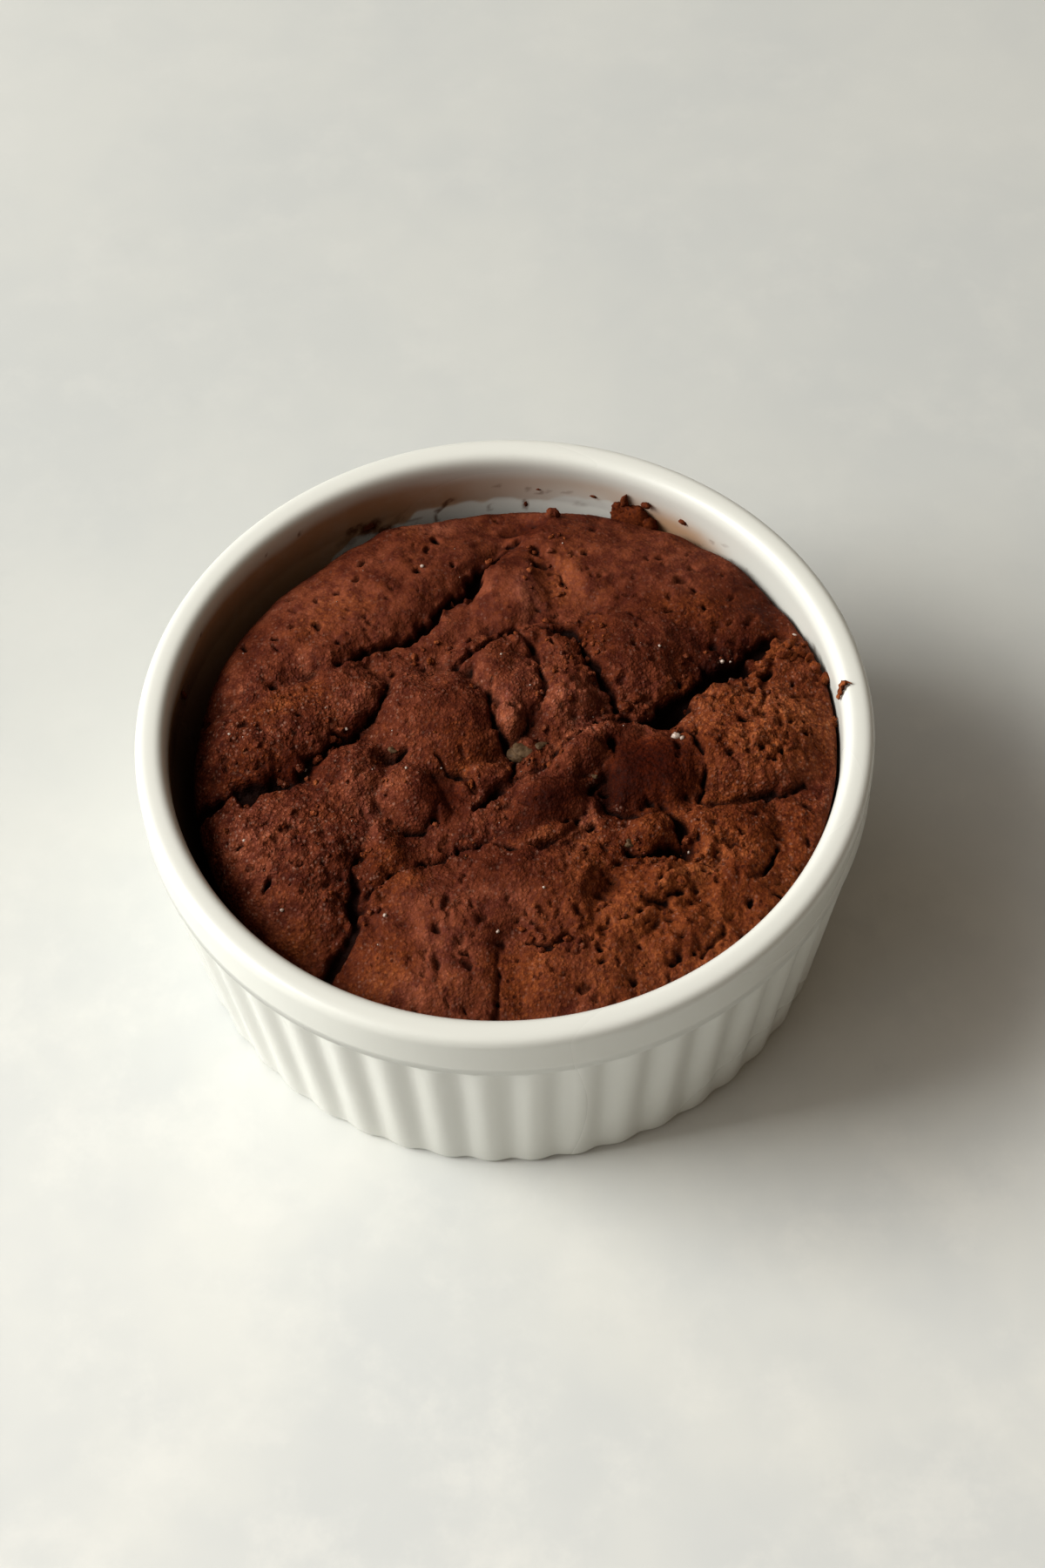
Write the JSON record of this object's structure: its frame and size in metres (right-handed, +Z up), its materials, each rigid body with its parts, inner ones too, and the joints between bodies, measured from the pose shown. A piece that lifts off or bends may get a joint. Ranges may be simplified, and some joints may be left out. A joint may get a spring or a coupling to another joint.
{
  "type": "ramekin of banana bread",
  "caption": "White fluted ceramic ramekin with a dark, cracked banana bread baked in it, domed to about rim height.",
  "frame": {"origin": "centre of the dish's foot ring, on the surface it stands on", "axes": "+Z up, -Y towards the side that the picture shows at the front, +X to its right"},
  "size_m": [0.104, 0.104, 0.0435],
  "materials": {
    "white_glaze": "smooth white glaze with a soft gloss",
    "brown_crust": "matt dark brown baked crust with open crumb and moist cracks"
  },
  "bodies": {
    "root": {"ramekin": "white_glaze", "banana_bread": "brown_crust"}
  },
  "joints": []
}
